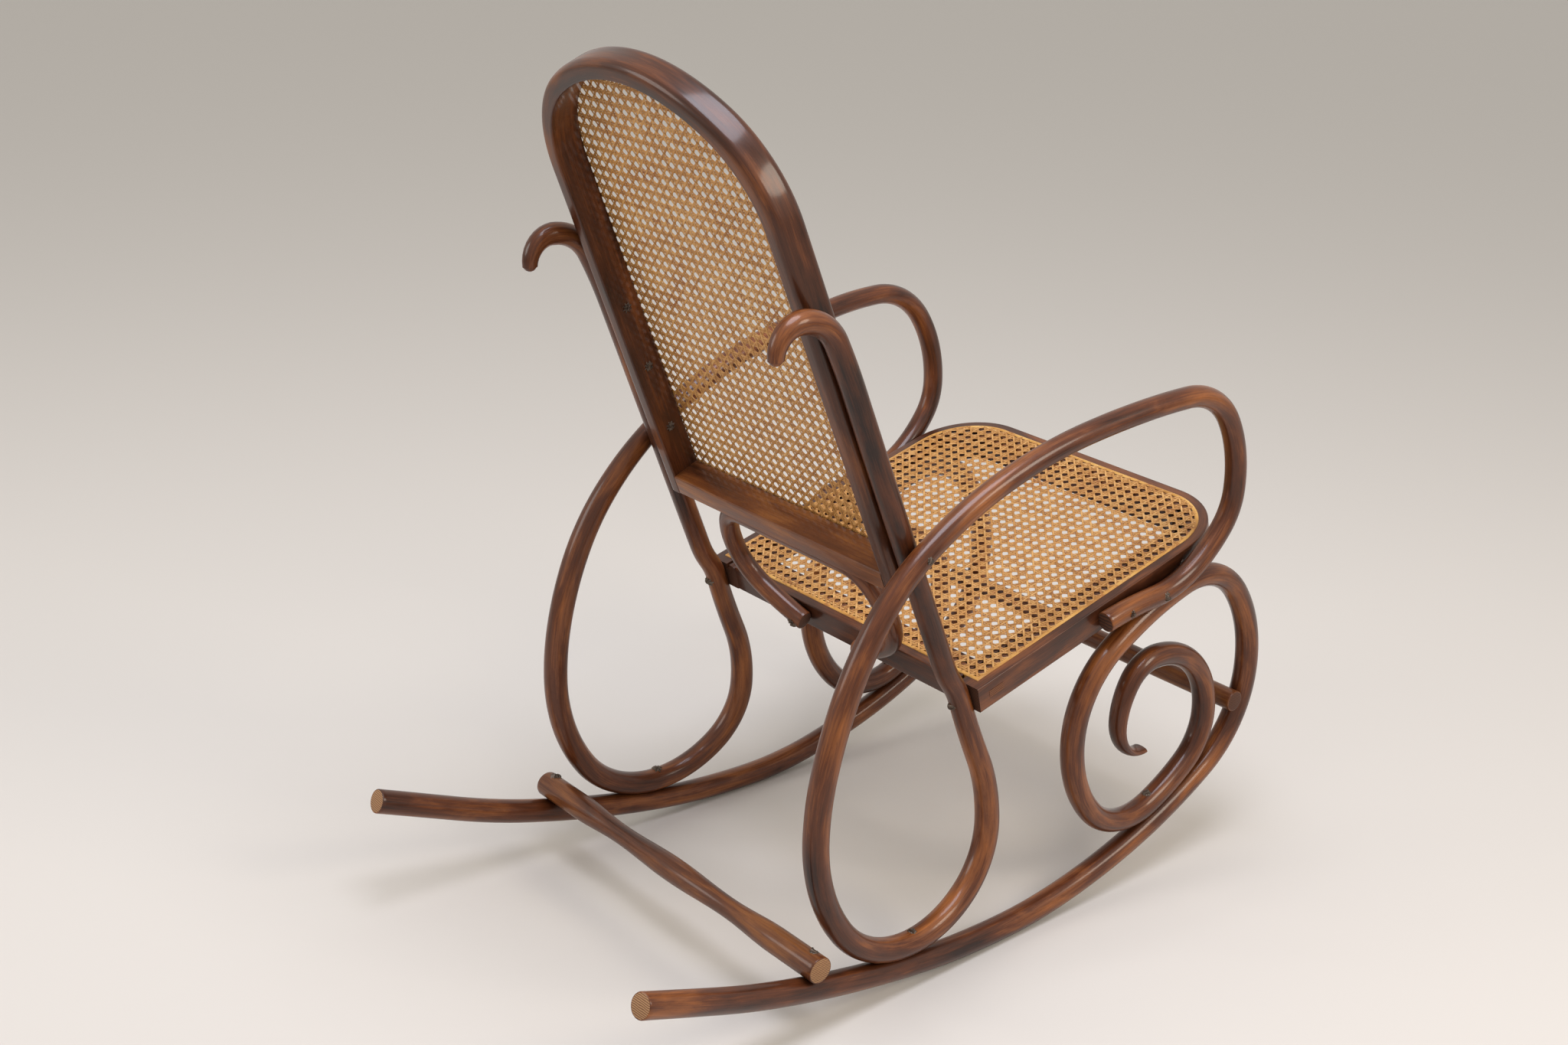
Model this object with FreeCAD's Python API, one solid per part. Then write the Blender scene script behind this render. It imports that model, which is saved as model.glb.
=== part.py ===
import FreeCAD, Part
import math
import os
from FreeCAD import Vector

os.makedirs("parts", exist_ok=True)

# A bentwood rocking chair of steam-bent beech rods with a caned back and seat.
# Sizes are in millimetres. The front faces -Y, +Z is up and X = 0 is the plane of symmetry.
# fwd is measured forward from the origin (-Y), across is measured out from the centre plane,
# up from the floor. A heading is seen from the side: 0 points forward and 90 points up.

turn = 360.0              # degrees

# Bent rods
rod = 27.0                # runners, scrolls and rear loops
slim_rod = 24.0           # uprights and arms
curl_rod = 22.0           # at the top of the curl above the upright
curl_end = 14.0           # blunt tip of the curl
brace_rod = 22.0
seat_in = 0.4             # how far a rod beds into what it is fixed against
pass_gap = 0.5            # between two stretches of one rod where it passes itself
floor_flat = 0.5          # depth worn off the underside of each runner where it rests
rod_sides = 16            # flats that stand for a rod's round, each touching the circle
bend_sag = 1.5            # how far a straight between two points may leave the bend
bend_step = 20.0          # most degrees of bend at one point

# Seat
seat_tilt = 14.5
seat_rear_fwd = -9.0      # rear top edge of the frame
seat_rear_up = 322.0
seat_depth = 420.0
seat_half = 221.0
seat_corner = 85.0        # radius of the front corners
rail_width = 42.0
rail_height = 30.0
rail_bevel = 5.5          # along the top outer edge
tenon_width = 9.0
tenon_depth = 21.0
tenon_inset = 6.0         # from the rear face to the tenon
seat_gap_pitch = 37.0     # about how far apart the gaps in the seat's cane are

# Runner and front scroll, whose centre line lies just inside the seat's side
runner_inset = 1.0
runner_tip = (-453.7, 134.0, -21.8)
runner_tip_out = 22.0     # how far the tip stands further out than the front
runner_back = (-262.0, 63.0, -16.0)
runner_back_out = 9.9
runner_floor = 58.0
runner_rise = (250.0, 47.0, 18.0)
runner_front = (445.3, 222.0)
scroll_top_fwd = 300.0
scroll_leg = (148.0, 215.0)
scroll_foot_fwd = 300.0   # where the scroll's foot lies on the runner
scroll_nose = (374.0, 182.0)
scroll_inner_top = (274.0, 281.0)
scroll_inner_back = (222.0, 213.0)
scroll_tail = (268.0, 168.0, 10.0)
tail_wide = 20.0
tail_thick = 7.0

# Cane and the spline that wedges it into its groove
spline_inset = 13.0       # from the seat's edge to the middle of the groove
back_spline_inset = 10.0
groove_width = 4.6
groove_depth = 6.0
cane_lip = 0.8            # cane turned down beside the spline
cane_thick = 1.4
spline_crown = 1.2        # how far the spline stands over the frame
gap_share = 0.62          # width of a gap as a share of the pitch
net_margin = 6.0          # unbroken strip between the frame's opening and the gaps

# Back frame
back_lean = 23.0          # from the vertical
back_foot = (-98.0, 437.0)  # rear lower edge, fwd and up
back_half_low = 189.0
back_half_high = 181.0
back_leg = 415.0
back_height = 562.0
back_depth = 35.0
back_face = 20.0          # width of the bent hoop seen from behind
back_rail = 24.0          # height of the straight bottom rail
back_bevel = 5.5          # along the hoop's outer edges
back_gap_pitch = 46.0

# Side bars: curl and upright
curl_out = 8.0            # of the curl's centre line beyond the hoop's legs at their foot
curl_tip = (-274.0, 711.0, 104.0)
curl_top = (-247.0, 747.0)
upright_top_up = 660.0
upright_low_up = 345.0
upright_out = 1.0         # further out where it passes the seat

# Side bars: rear loop, across measured from the runner's front
loop_front = (31.0, -10.0, 152.0)
loop_bottom_fwd = -86.0
loop_rear = (-229.0, 6.0, 226.0)
arm_start = (-199.0, 7.0, 368.0, 67.5)

# Side bars: arm, across measured from the seat's side
arm_cross = (486.5, 36.5)  # how far up the back it passes the upright, and its heading
arm_shoulder = (112.0, 13.0, 581.0, 9.0)
arm_top = (255.0, 22.0, 595.0)
arm_front = (357.0, 19.0, 468.0)
arm_under = (310.0, 15.5, 391.0, -142.0)
arm_end_fwd = 168.0
arm_flat = 3.0            # depth planed off the arm end where it meets the seat

# Brace below the back, measured in its own plane
brace_half = 128.0
brace_wide_down = 62.0    # from its top run to where it is widest
brace_end_half = 45.0
brace_end_slope = 20.0
brace_top_half = 85.0

# Stretchers
stretcher_out = 14.0      # from a runner's centre line to a stretcher's end
rear_stretcher_fwd = -238.0
rear_end = 29.0
rear_neck = 22.0
rear_bulge = 28.0
rear_neck_at = 95.0
rear_shoulder_at = 175.0
end_chamfer = 1.5
front_stretcher_fwd = 437.5  # where the runner carries it
front_dowel = 25.0

# Fasteners
pin_sides = 8             # flats that stand for the round of a screw or a dowel
screw_shank = 4.0
screw_head = 8.0
screw_head_height = 2.6
screw_sink = 0.9          # how far a head lies below the wood
screw_bite = 15.0         # length that holds in the second piece
screw_holes_out = 4.0     # how far a bore is cut beyond the head
back_screw_along = (83.0, 164.0, 240.0)
arm_screw_fwd = (202.0, 254.0)
brace_top_screw = 42.0
dowel = 8.0
dowel_length = 32.0
dowel_spacing = 12.0


def point(fwd, across, up):
    return Vector(across, -fwd, up)


def frame_matrix(x_axis, y_axis, z_axis, origin):
    return FreeCAD.Matrix(x_axis.x, y_axis.x, z_axis.x, origin.x,
                          x_axis.y, y_axis.y, z_axis.y, origin.y,
                          x_axis.z, y_axis.z, z_axis.z, origin.z,
                          0, 0, 0, 1)


def moved_to(shape, matrix):
    out = shape.copy()
    out.Placement = FreeCAD.Placement(matrix)
    return out


def mirrored(shape):
    return shape.mirror(Vector(0, 0, 0), Vector(1, 0, 0))


def both_sides(shapes):
    return shapes + [mirrored(shape) for shape in shapes]


def save(name, shape):
    shape.exportStep("parts/%s.step" % name)


def save_pair(name, shape):
    save("left_" + name, shape)
    save("right_" + name, mirrored(shape))


# Bars with flat sides, round or oval, along a line of points

def square_to(direction):
    """A sideways unit vector across a direction."""
    sideways = Vector(1, 0, 0) if abs(direction.x) < 0.9 else Vector(0, 1, 0)
    return (sideways - direction * sideways.dot(direction)).normalize()


def carried(vector, way, next_way):
    """A vector turned with its straight into the next one."""
    bent = way.cross(next_way).Length > 1e-7
    return FreeCAD.Rotation(way, next_way).multVec(vector) if bent else vector


def corners_at(centre, way, plane, sideways, size, sides):
    """Corners of a bar's section on the plane where two straights meet, or square across its end."""
    upward = way.cross(sideways)
    reach = 0.5 / math.cos(math.pi / sides)
    corners = []
    for k in range(sides):
        a = 2 * math.pi * (k + 0.5) / sides
        offset = sideways * (size[0] * reach * math.cos(a)) + upward * (size[1] * reach * math.sin(a))
        corners.append(centre + offset - way * (offset.dot(plane) / way.dot(plane)))
    return corners


def flat_face(corners):
    return Part.Face(Part.makePolygon(corners + corners[:1]))


def bar(points, sizes, sides):
    """A solid bar through points; sizes gives (sideways, in the plane of the bend) at each one."""
    ways = [(b - a).normalize() for a, b in zip(points, points[1:])]
    sideways = [square_to(ways[-1])]
    for way, after in zip(ways[-2::-1], ways[:0:-1]):
        sideways.insert(0, carried(sideways[0], after, way))
    rings = []
    for i, (centre, size) in enumerate(zip(points, sizes)):
        k = min(i, len(ways) - 1)
        plane = (ways[max(i - 1, 0)] + ways[k]).normalize()
        rings.append(corners_at(centre, ways[k], plane, sideways[k], size, sides))
    faces = [flat_face(rings[0]), flat_face(rings[-1])]
    for i, (low, high) in enumerate(zip(rings, rings[1:])):
        for k in range(sides):
            a, b, c, d = low[k - 1], low[k], high[k], high[k - 1]
            if sizes[i] == sizes[i + 1]:
                faces.append(flat_face([a, b, c, d]))
            else:
                faces += [flat_face([a, b, c]), flat_face([a, c, d])]
    shell = Part.makeShell(faces)
    shell.sewShape()
    solid = Part.makeSolid(shell.Shells[0])
    if solid.Volume < 0:
        solid.reverse()
    return solid


# Rods bent through stations of (fwd, across, up, heading)

def station_tangents(stations):
    points = [point(*station[:3]) for station in stations]
    tangents = []
    for i, (fwd, across, up, heading) in enumerate(stations):
        before = max(i - 1, 0)
        after = min(i + 1, len(stations) - 1)
        run = sum((points[k + 1] - points[k]).Length for k in range(before, after))
        sideways = (stations[after][1] - stations[before][1]) / run
        a = math.radians(heading)
        tangents.append(Vector(sideways, -math.cos(a), math.sin(a)).normalize())
    return tangents


def arc(start, direction, end):
    """The arc that leaves start in a direction and ends at a point."""
    chord = end - start
    half = direction.getAngle(chord)
    if half < 1e-4:
        return Part.LineSegment(start, end).toShape()
    outward = (direction - chord * (direction.dot(chord) / chord.dot(chord))).normalize()
    middle = (start + end) * 0.5 + outward * (chord.Length / 2 * math.tan(half / 2))
    return Part.Arc(start, middle, end).toShape()


def biarc(p0, t0, p1, t1):
    """Two tangent arcs that leave p0 along t0 and reach p1 along t1."""
    span = p1 - p0
    bend = 2 * (1 - t0.dot(t1))
    along = span.dot(t0 + t1)
    if bend < 1e-7:
        reach = span.dot(span) / (4 * span.dot(t1))
    else:
        reach = (math.sqrt(along * along + bend * span.dot(span)) - along) / bend
    first = p0 + t0 * reach
    second = p1 - t1 * reach
    middle = (first + second) * 0.5
    return [arc(p0, t0, middle), arc(middle, (second - first).normalize(), p1)]


def points_along(edge):
    """Points along an arc without its end, close enough together for the rod to look bent."""
    steps = 1
    if edge.Curve.TypeId == "Part::GeomCircle":
        radius = edge.Curve.Radius
        widest = min(bend_step, 2 * math.degrees(math.acos(1 - min(bend_sag / radius, 1))))
        steps = math.ceil(math.degrees(edge.Length / radius) / widest)
    return edge.discretize(steps + 1)[:-1]


class Rod:
    """The centre line of a bent rod as points, each with its place among the stations."""

    def __init__(self, stations):
        ends = [point(*station[:3]) for station in stations]
        tangents = station_tangents(stations)
        self.points = []
        self.places = []
        for i in range(len(stations) - 1):
            for half, edge in enumerate(biarc(ends[i], tangents[i], ends[i + 1], tangents[i + 1])):
                found = points_along(edge)
                self.points += found
                self.places += [i + (half + k / len(found)) / 2 for k in range(len(found))]
        self.points.append(ends[-1])
        self.places.append(len(stations) - 1)

    def straights(self):
        """Each straight as its start, its end and its heading."""
        return [(a, b, math.degrees(math.atan2(b.z - a.z, a.y - b.y)))
                for a, b in zip(self.points, self.points[1:])]

    def crossing(self, fwd):
        """The lowest point of the line at a distance forward, and the heading there."""
        found = [(a + (b - a) * ((-fwd - a.y) / (b.y - a.y)), heading)
                 for a, b, heading in self.straights() if (a.y + fwd) * (b.y + fwd) <= 0 and a.y != b.y]
        return min(found, key=lambda place: place[0].z)

    def solid(self, sizes):
        """The rod itself; sizes gives its diameter, or (sideways, in the bend), at each station."""
        sizes = [size if isinstance(size, tuple) else (size, size) for size in sizes]
        here = []
        for place in self.places:
            low = int(place)
            high = min(low + 1, len(sizes) - 1)
            here.append(tuple(a + (b - a) * (place - low) for a, b in zip(sizes[low], sizes[high])))
        return bar(self.points, here, rod_sides)


# Fasteners

class Screws:
    """Countersunk wood screws of one joint on the left side: the screws and the bores they need."""

    def __init__(self, places, through):
        self.screws = []
        self.bores = []
        length = through - screw_sink + screw_bite
        sizes = [(screw_head, screw_head)] * 2 + [(screw_shank, screw_shank)] * 2
        for surface, direction in places:
            start = surface + direction * screw_sink
            points = [start + direction * reach for reach in (-screw_holes_out, 0, screw_head_height, length)]
            self.screws.append(bar(points[1:], sizes[1:], pin_sides))
            self.bores.append(bar(points, sizes, pin_sides))

    def sides(self):
        return Part.makeCompound(both_sides(self.screws))


# Seat frame, with its own flat frame: x sideways, y forward along the seat, z out of it

tilt = math.radians(seat_tilt)
seat_along = Vector(0, -math.cos(tilt), math.sin(tilt))
seat_normal = Vector(0, math.sin(tilt), math.cos(tilt))
seat_origin = point(seat_rear_fwd, 0, seat_rear_up)
seat_matrix = frame_matrix(Vector(-1, 0, 0), seat_along, seat_normal, seat_origin)


def on_seat(across, along, above):
    return seat_origin + Vector(across, 0, 0) + seat_along * along + seat_normal * above


def along_at(fwd):
    """Distance along the seat of a place fwd."""
    return (fwd - seat_rear_fwd) / math.cos(tilt)


def seat_outline(inset):
    """The seat's plan, square at the rear and rounded at the front."""
    half = seat_half - inset
    front = seat_depth - inset
    r = seat_corner - inset
    rear_right, side_right = Vector(half, inset, 0), Vector(half, front - r, 0)
    front_right, front_left = Vector(half - r, front, 0), Vector(r - half, front, 0)
    side_left, rear_left = Vector(-half, front - r, 0), Vector(-half, inset, 0)
    return Part.Wire([Part.LineSegment(rear_left, rear_right).toShape(),
                      Part.LineSegment(rear_right, side_right).toShape(),
                      arc(side_right, Vector(0, 1, 0), front_right),
                      Part.LineSegment(front_right, front_left).toShape(),
                      arc(front_left, Vector(-1, 0, 0), side_left),
                      Part.LineSegment(side_left, rear_left).toShape()])


# Back frame, with its own flat frame: x sideways, y up the back, z out of its front

lean = math.radians(back_lean)
back_up = Vector(0, math.sin(lean), math.cos(lean))
back_normal = Vector(0, -math.cos(lean), math.sin(lean))
back_origin = point(back_foot[0], 0, back_foot[1])
back_matrix = frame_matrix(Vector(1, 0, 0), back_up, back_normal, back_origin)


def on_back(across, along, before):
    return back_origin + Vector(across, 0, 0) + back_up * along + back_normal * before


def leg_half(along, inset=0):
    """Half the width between the hoop's legs, or between lines at an inset inside them."""
    slope = math.atan((back_half_low - back_half_high) / back_leg)
    return back_half_low - along * math.tan(slope) - inset / math.cos(slope)


def back_outline(inset):
    """The back's outline: legs that close in a little and an arch of four arcs."""
    foot = Vector(back_half_low, 0, 0)
    shoulder = Vector(back_half_high, back_leg, 0)
    crown = Vector(0, back_height, 0)
    right = [Part.LineSegment(foot, shoulder).toShape()]
    right += biarc(shoulder, (shoulder - foot).normalize(), crown, Vector(-1, 0, 0))
    left = [mirrored(edge) for edge in reversed(right)]
    base = Part.LineSegment(Vector(-foot.x, 0, 0), foot).toShape()
    outline = Part.Wire(right + left + [base])
    return outline.makeOffset2D(-inset) if inset else outline


def plate(wire, low, high):
    face = Part.Face(wire)
    face.translate(Vector(0, 0, low))
    return face.extrude(Vector(0, 0, high - low))


def ring(outer, inner, low, high):
    return plate(outer, low, high).cut(plate(inner, low - 1, high + 1))


def caned(outline, inset, face):
    """A sheet of cane with its lip turned down in the groove, and the spline that holds the lip."""
    lip_out = inset + groove_width / 2 - cane_lip
    lip_in = inset + groove_width / 2
    sheet = plate(outline(lip_out), face, face + cane_thick)
    lip = ring(outline(lip_out), outline(lip_in), face - groove_depth, face)
    spline = ring(outline(inset - groove_width / 2), outline(lip_out),
                  face - groove_depth, face + spline_crown)
    return sheet.fuse(lip).removeSplitter(), spline


def pierced(sheet, field, gap_pitch, low, high):
    """Cut a grid of square gaps between two corners, wherever a whole gap lies inside the field."""
    gaps_across = round((high.x - low.x) / gap_pitch)
    gaps_along = round((high.y - low.y) / gap_pitch)
    pitch = Vector((high.x - low.x) / gaps_across, (high.y - low.y) / gaps_along, 0)
    size = pitch * gap_share
    top = sheet.BoundBox.ZMax
    cutters = []
    for i in range(gaps_across):
        for j in range(gaps_along):
            x = low.x + (i + 0.5) * pitch.x - size.x / 2
            y = low.y + (j + 0.5) * pitch.y - size.y / 2
            corners = [Vector(x, y, 0), Vector(x + size.x, y, 0),
                       Vector(x + size.x, y + size.y, 0), Vector(x, y + size.y, 0)]
            if all(field.isInside(corner, 0.01, True) for corner in corners):
                cutters.append(plate(Part.makePolygon(corners + corners[:1]), top - 2 * cane_thick, top + 1))
    return sheet.cut(Part.makeCompound(cutters))


# Runner with its front scroll, one rod

runner_across = seat_half - runner_inset
runner_way = [
    (runner_tip[0], runner_across + runner_tip_out, runner_tip[1], runner_tip[2]),
    (runner_back[0], runner_across + runner_back_out, runner_back[1], runner_back[2]),
    (runner_floor, runner_across, rod / 2 - floor_flat, 0),
    (runner_rise[0], runner_across, runner_rise[1], runner_rise[2]),
    (runner_front[0], runner_across, runner_front[1], turn / 4)]
runner_line = Rod(runner_way)
foot_mark, foot_heading = runner_line.crossing(scroll_foot_fwd)
foot_slope = math.radians(foot_heading)
foot_down = Vector(0, -math.sin(foot_slope), -math.cos(foot_slope))
scroll_foot = foot_mark - foot_down * (rod + pass_gap)
scroll_top = on_seat(runner_across, along_at(scroll_top_fwd), seat_in - rail_height - rod / 2)
scroll_way = [
    (-scroll_top.y, runner_across, scroll_top.z, turn / 2 + seat_tilt),
    (scroll_leg[0], runner_across, scroll_leg[1], turn * 3 / 4),
    (-scroll_foot.y, runner_across, scroll_foot.z, turn + foot_heading),
    (scroll_nose[0], runner_across, scroll_nose[1], turn * 5 / 4),
    (scroll_inner_top[0], runner_across, scroll_inner_top[1], turn * 3 / 2),
    (scroll_inner_back[0], runner_across, scroll_inner_back[1], turn * 7 / 4),
    (scroll_tail[0], runner_across, scroll_tail[1], turn * 2 + scroll_tail[2])]
tail_middle = ((rod + tail_wide) / 2, (rod + tail_thick) / 2)
runner = Rod(runner_way + scroll_way).solid([rod] * 10 + [tail_middle, (tail_wide, tail_thick)])

# Side bar: curl, upright, rear loop and arm, one rod

def upright_at(up):
    """Centre of the upright beside the hoop's leg."""
    along = (up - back_foot[1]) / math.cos(lean)
    middle = on_back(0, along, back_depth / 2)
    return (-middle.y, leg_half(along) + slim_rod / 2 - seat_in, middle.z)


upright_low = upright_at(upright_low_up)
upright_seat = on_seat(upright_low[1] + upright_out, seat_in - slim_rod / 2, -rail_height / 2)
loop_mark = runner_line.crossing(loop_bottom_fwd)[0]
arm_end = on_seat(seat_half + slim_rod / 2 - arm_flat, along_at(arm_end_fwd), -rail_height / 2)
cross_mark = upright_at(arm_cross[0])
bar_way = [
    (curl_tip[0], back_half_low + curl_out, curl_tip[1], curl_tip[2]),
    (curl_top[0], back_half_low + curl_out, curl_top[1], 0),
    upright_at(upright_top_up) + (back_lean - turn / 4,),
    upright_low + (back_lean - turn / 4,),
    (-upright_seat.y, upright_seat.x, upright_seat.z, -70),
    (loop_front[0], runner_across + loop_front[1], loop_front[2], -turn / 4),
    (loop_bottom_fwd, loop_mark.x, loop_mark.z + rod - seat_in, -turn / 2),
    (loop_rear[0], runner_across + loop_rear[1], loop_rear[2], -turn * 3 / 4),
    (arm_start[0], runner_across + arm_start[1], arm_start[2], arm_start[3] - turn),
    (cross_mark[0], cross_mark[1] + slim_rod + pass_gap, cross_mark[2], arm_cross[1] - turn),
    (arm_shoulder[0], seat_half + arm_shoulder[1], arm_shoulder[2], arm_shoulder[3] - turn),
    (arm_top[0], seat_half + arm_top[1], arm_top[2], -turn),
    (arm_front[0], seat_half + arm_front[1], arm_front[2], -turn * 5 / 4),
    (arm_under[0], seat_half + arm_under[1], arm_under[2], arm_under[3] - turn),
    (-arm_end.y, arm_end.x, arm_end.z, seat_tilt - turn * 3 / 2)]
side_line = Rod(bar_way)
side_bar = side_line.solid([curl_end, curl_rod] + [slim_rod] * 3 + [rod] * 4 + [slim_rod] * 6)

# Seat frame pieces

frame_ring = ring(seat_outline(0), seat_outline(rail_width), -rail_height, 0)
outer_wall = plate(seat_outline(0), -1, 1)
top_edges = [e for e in frame_ring.Edges
             if all(abs(v.Z) < 0.01 for v in e.Vertexes)
             and outer_wall.Shells[0].distToShape(Part.Vertex(e.valueAt(e.FirstParameter)))[0] < 0.01]
frame_ring = frame_ring.makeChamfer(rail_bevel, top_edges)
groove = ring(seat_outline(spline_inset - groove_width / 2), seat_outline(spline_inset + groove_width / 2),
              -groove_depth, 1)
frame_ring = frame_ring.cut(groove)
inner_half = seat_half - rail_width
rear_box = Part.makeBox(2 * inner_half, rail_width, rail_height, Vector(-inner_half, 0, -rail_height))
tenon_box = Part.makeBox(2 * seat_half, tenon_depth, tenon_width,
                         Vector(-seat_half, tenon_inset, -rail_height / 2 - tenon_width / 2))
rear_rail = moved_to(frame_ring.common(rear_box.fuse(tenon_box)), seat_matrix)
seat_bow = moved_to(frame_ring.cut(rear_box.fuse(tenon_box)), seat_matrix)
seat_net, seat_spline = caned(seat_outline, spline_inset, 0)
seat_field = plate(seat_outline(rail_width + net_margin), -1, 1)
net_in = rail_width + net_margin
seat_net = pierced(seat_net, seat_field, seat_gap_pitch,
                   Vector(net_in - seat_half, net_in, 0), Vector(seat_half - net_in, seat_depth - net_in, 0))

# Back frame pieces

frame = plate(back_outline(0), 0, back_depth)
outer_edges = [e for e in frame.Edges
               if (e.CenterOfMass.z < 0.01 or e.CenterOfMass.z > back_depth - 0.01) and e.CenterOfMass.y > 1]
frame = frame.makeChamfer(back_bevel, outer_edges)
rail_space = Part.makeBox(2 * back_half_low, back_rail, back_depth + 2, Vector(-back_half_low, 0, -1))
frame = frame.cut(plate(back_outline(back_face), -1, back_depth + 1).cut(rail_space))
back_groove = ring(back_outline(back_spline_inset - groove_width / 2),
                   back_outline(back_spline_inset + groove_width / 2),
                   back_depth - groove_depth, back_depth + 1)
frame = frame.cut(back_groove)
rail_plan = [Vector(side * leg_half(along, back_face), along, 0)
             for side, along in ((-1, 0), (1, 0), (1, back_rail), (-1, back_rail), (-1, 0))]
bottom_rail = frame.common(plate(Part.makePolygon(rail_plan), -1, back_depth + 1))
hoop = frame.cut(bottom_rail)
back_net, back_spline = caned(back_outline, back_spline_inset, back_depth)
net_in = back_face + net_margin
back_net = pierced(back_net, plate(back_outline(net_in), -1, 1), back_gap_pitch,
                   Vector(net_in - back_half_low, back_rail + net_margin, 0),
                   Vector(back_half_low - net_in, back_height - net_in, 0))
dowels = []
for side in (-1, 1):
    for before in (-dowel_spacing / 2, dowel_spacing / 2):
        joint = Vector(side * leg_half(back_rail / 2, back_face), back_rail / 2, back_depth / 2 + before)
        reach = Vector(dowel_length / 2, 0, 0)
        dowels.append(bar([joint - reach, joint + reach], [(dowel, dowel)] * 2, pin_sides))
dowels = Part.makeCompound(dowels)
hoop = moved_to(hoop.cut(dowels), back_matrix)
bottom_rail = moved_to(bottom_rail.cut(dowels), back_matrix)
dowels = moved_to(dowels, back_matrix)

# Brace: a flat oval loop from under the back's bottom rail to the rear of the seat

brace_top = on_back(0, seat_in - brace_rod / 2, back_depth / 2)
brace_end = on_seat(0, seat_in - brace_rod / 2, -rail_height / 2)
brace_fall = (brace_end - brace_top).Length
brace_up = (brace_top - brace_end).normalize()
brace_matrix = frame_matrix(Vector(-1, 0, 0).cross(brace_up), Vector(-1, 0, 0), brace_up, brace_top)
brace_way = [
    (-brace_end_half, 0, -brace_fall, turn / 2 - brace_end_slope),
    (-brace_half, 0, -brace_wide_down, 90),
    (-brace_top_half, 0, 0, 0),
    (brace_top_half, 0, 0, 0),
    (brace_half, 0, -brace_wide_down, -90),
    (brace_end_half, 0, -brace_fall, brace_end_slope - turn / 2)]
brace = moved_to(Rod(brace_way).solid([brace_rod] * 6), brace_matrix)

# Stretchers

rear_mark, rear_heading = runner_line.crossing(rear_stretcher_fwd)
rear_slope = math.radians(rear_heading)
rear_down = Vector(0, -math.sin(rear_slope), -math.cos(rear_slope))
rear_centre = rear_mark - rear_down * (rod / 2 + rear_end / 2 - seat_in)
rear_half = rear_mark.x + stretcher_out
level = Vector(1, 0, 0)
turned_along = [0, rear_neck_at / 2, rear_neck_at, (rear_neck_at + rear_shoulder_at) / 2, rear_shoulder_at,
                rear_half - end_chamfer, rear_half]
turned_across = [rear_bulge, (rear_bulge + rear_neck) / 2, rear_neck, (rear_neck + rear_end) / 2, rear_end,
                 rear_end, rear_end - 2 * end_chamfer]
turned_along = [-x for x in turned_along[:0:-1]] + turned_along
turned_across = turned_across[:0:-1] + turned_across
rear_stretcher = bar([Vector(x, rear_centre.y, rear_centre.z) for x in turned_along],
                     [(size, size) for size in turned_across], rod_sides)

front_mark, front_heading = runner_line.crossing(front_stretcher_fwd)
front_slope = math.radians(front_heading)
inward = Vector(0, math.sin(front_slope), math.cos(front_slope))
front_centre = front_mark + inward * (rod / 2 + front_dowel / 2 - seat_in)
front_half = runner_across + stretcher_out
front_ends = [Vector(x, front_centre.y, front_centre.z)
              for x in (-front_half, end_chamfer - front_half, front_half - end_chamfer, front_half)]
front_tip = (front_dowel - 2 * end_chamfer,) * 2
front_stretcher = bar(front_ends, [front_tip, (front_dowel,) * 2, (front_dowel,) * 2, front_tip], rod_sides)

# Screws, each starting on the surface that its head lies in

back_screws = Screws([(on_back(leg_half(along, back_face), along, back_depth / 2), level)
                      for along in back_screw_along], back_face)
seat_screws = Screws([(on_seat(upright_seat.x, seat_in - slim_rod, -rail_height / 2), seat_along)], slim_rod)
crossing_screws = Screws([(point(cross_mark[0], cross_mark[1] + slim_rod * 1.5 + pass_gap, cross_mark[2]),
                           level * -1)], slim_rod + pass_gap)
arm_end_screws = Screws([(side_line.crossing(fwd)[0] + level * (slim_rod / 2), level * -1)
                         for fwd in arm_screw_fwd], slim_rod - arm_flat)
loop_screws = Screws([(loop_mark + Vector(0, 0, rod * 1.5 - seat_in), Vector(0, 0, -1))], rod)
foot_screws = Screws([(scroll_foot - foot_down * (rod / 2), foot_down)], rod + pass_gap)
top_screws = Screws([(scroll_top - seat_normal * (rod / 2), seat_normal)], rod)
rear_screws = Screws([(Vector(rear_mark.x, rear_centre.y, rear_centre.z) - rear_down * (rear_end / 2),
                       rear_down)], rear_end)
front_screws = Screws([(front_mark - inward * (rod / 2), inward)], rod)
brace_end_screws = Screws([(on_seat(brace_end_half + brace_rod / 2, seat_in - brace_rod, -rail_height / 2),
                            seat_along)], brace_rod)
brace_top_screws = Screws([(on_back(brace_top_screw, seat_in - brace_rod, back_depth / 2), back_up)],
                          brace_rod)


def bored(shape, *joints):
    return shape.cut(Part.makeCompound([bore for joint in joints for bore in joint.bores]))


def bored_both(shape, *joints):
    return shape.cut(Part.makeCompound(both_sides([bore for joint in joints for bore in joint.bores])))


# Pieces are bedded against what they are fixed to, then bored

below_floor = Part.makeBox(4 * rod, 4 * seat_depth, 4 * rod,
                           Vector(runner_across - 2 * rod, -2 * seat_depth, -4 * rod))
runner = runner.cut(below_floor).cut(seat_bow)
side_bar = side_bar.cut(runner).cut(hoop).cut(seat_bow).cut(rear_rail)
brace = brace.cut(bottom_rail).cut(rear_rail)
for side_runner in both_sides([runner]):
    rear_stretcher = rear_stretcher.cut(side_runner)
    front_stretcher = front_stretcher.cut(side_runner)

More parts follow.
